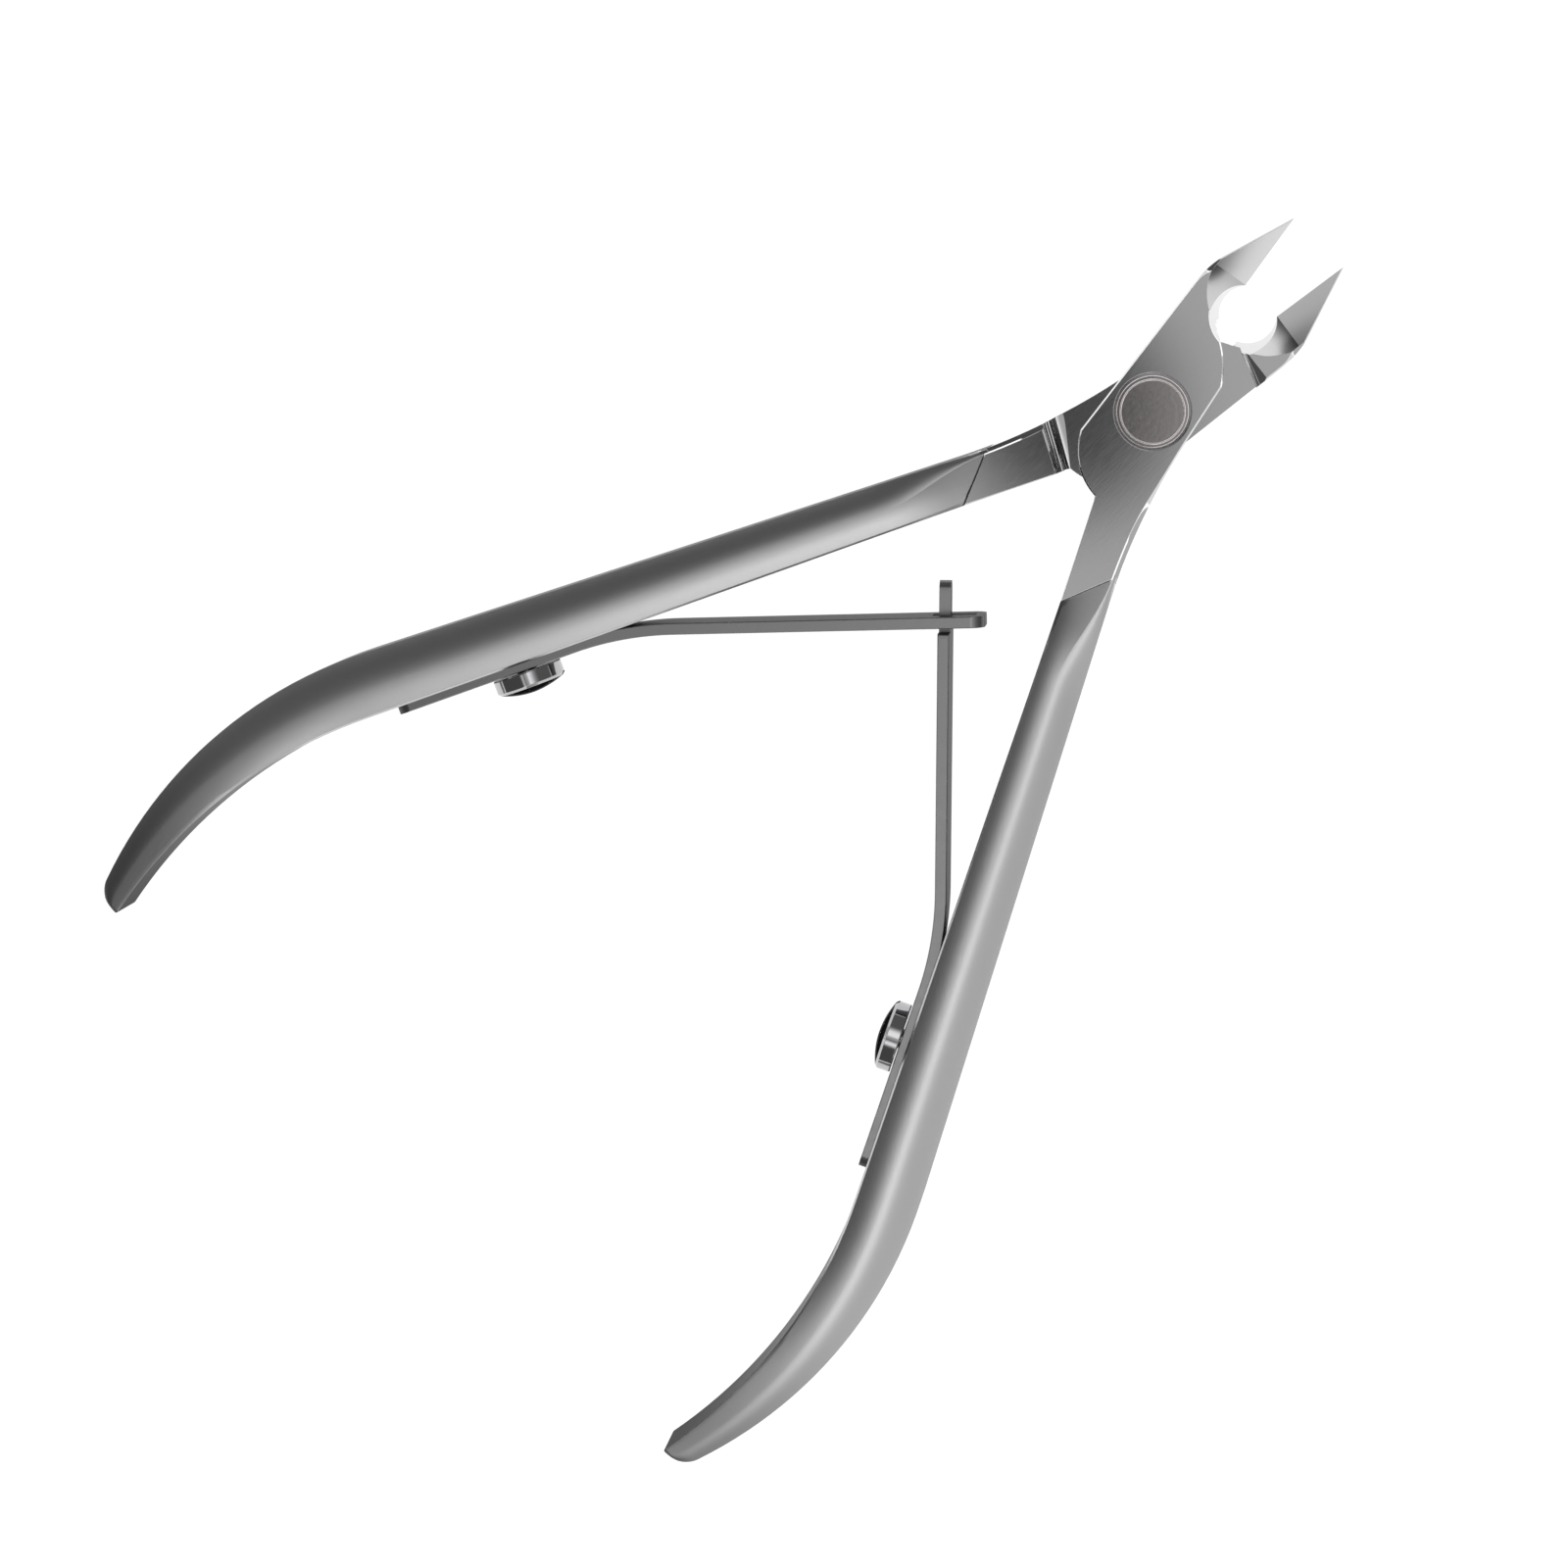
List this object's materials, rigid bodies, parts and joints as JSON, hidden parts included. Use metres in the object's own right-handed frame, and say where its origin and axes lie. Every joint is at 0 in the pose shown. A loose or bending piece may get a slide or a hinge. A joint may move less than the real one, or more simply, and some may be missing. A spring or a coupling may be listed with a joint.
{
  "type": "cuticle nippers",
  "caption": "Hand nipper with lap-jointed steel halves, short pointed cutting blades, curved handles and interlocking leaf springs that push the handles apart.",
  "frame": {"origin": "on the pivot axis, at the back face of the joint", "axes": "+X along the symmetry axis towards the blade tips, +Y towards the handle with the slotted leaf, +Z along the pivot axis towards the rivet's wide head"},
  "size_m": [0.1148, 0.077, 0.0066],
  "materials": {
    "satin_steel": "fine bead-blasted satin on the handles, ground flats on the joint and blades",
    "rivet_steel": "turned face, ground flush with the joint",
    "spring_steel": "cold-rolled strip with bright broad faces and sheared edges",
    "bright_screw": "bright nickel plate"
  },
  "bodies": {
    "back_half": {"back_half": "satin_steel", "pivot_rivet": "rivet_steel", "slotted_leaf_root": "spring_steel", "slotted_leaf_screw": "bright_screw"},
    "front_half": {"front_half": "satin_steel", "tongue_leaf_root": "spring_steel", "tongue_leaf_screw": "bright_screw"},
    "slotted_arm": {"slotted_leaf_arm": "spring_steel"},
    "tongue_arm": {"tongue_leaf_arm": "spring_steel"}
  },
  "joints": [
    {"name": "main_pivot", "type": "hinge", "parent": "back_half", "child": "front_half", "pos_m": [0, 0, 0], "axis": [0, 0, -1], "range_deg": [0, 16.5], "stiffness_Nm_per_rad": 1.5, "springref_deg": -5.73},
    {"name": "slotted_leaf_bend", "type": "hinge", "parent": "back_half", "child": "slotted_arm", "pos_m": [-0.04454, 0.01841, 0.003], "axis": [0, 0, 1], "range_deg": [0, 10]},
    {"name": "tongue_leaf_bend", "type": "hinge", "parent": "front_half", "child": "tongue_arm", "pos_m": [-0.04454, -0.01841, 0.003], "axis": [0, 0, -1], "range_deg": [0, 10]}
  ],
  "couplings": [
    {"joint": "slotted_leaf_bend", "follows": "main_pivot", "ratio": 0.6},
    {"joint": "tongue_leaf_bend", "follows": "main_pivot", "ratio": 0.6}
  ]
}
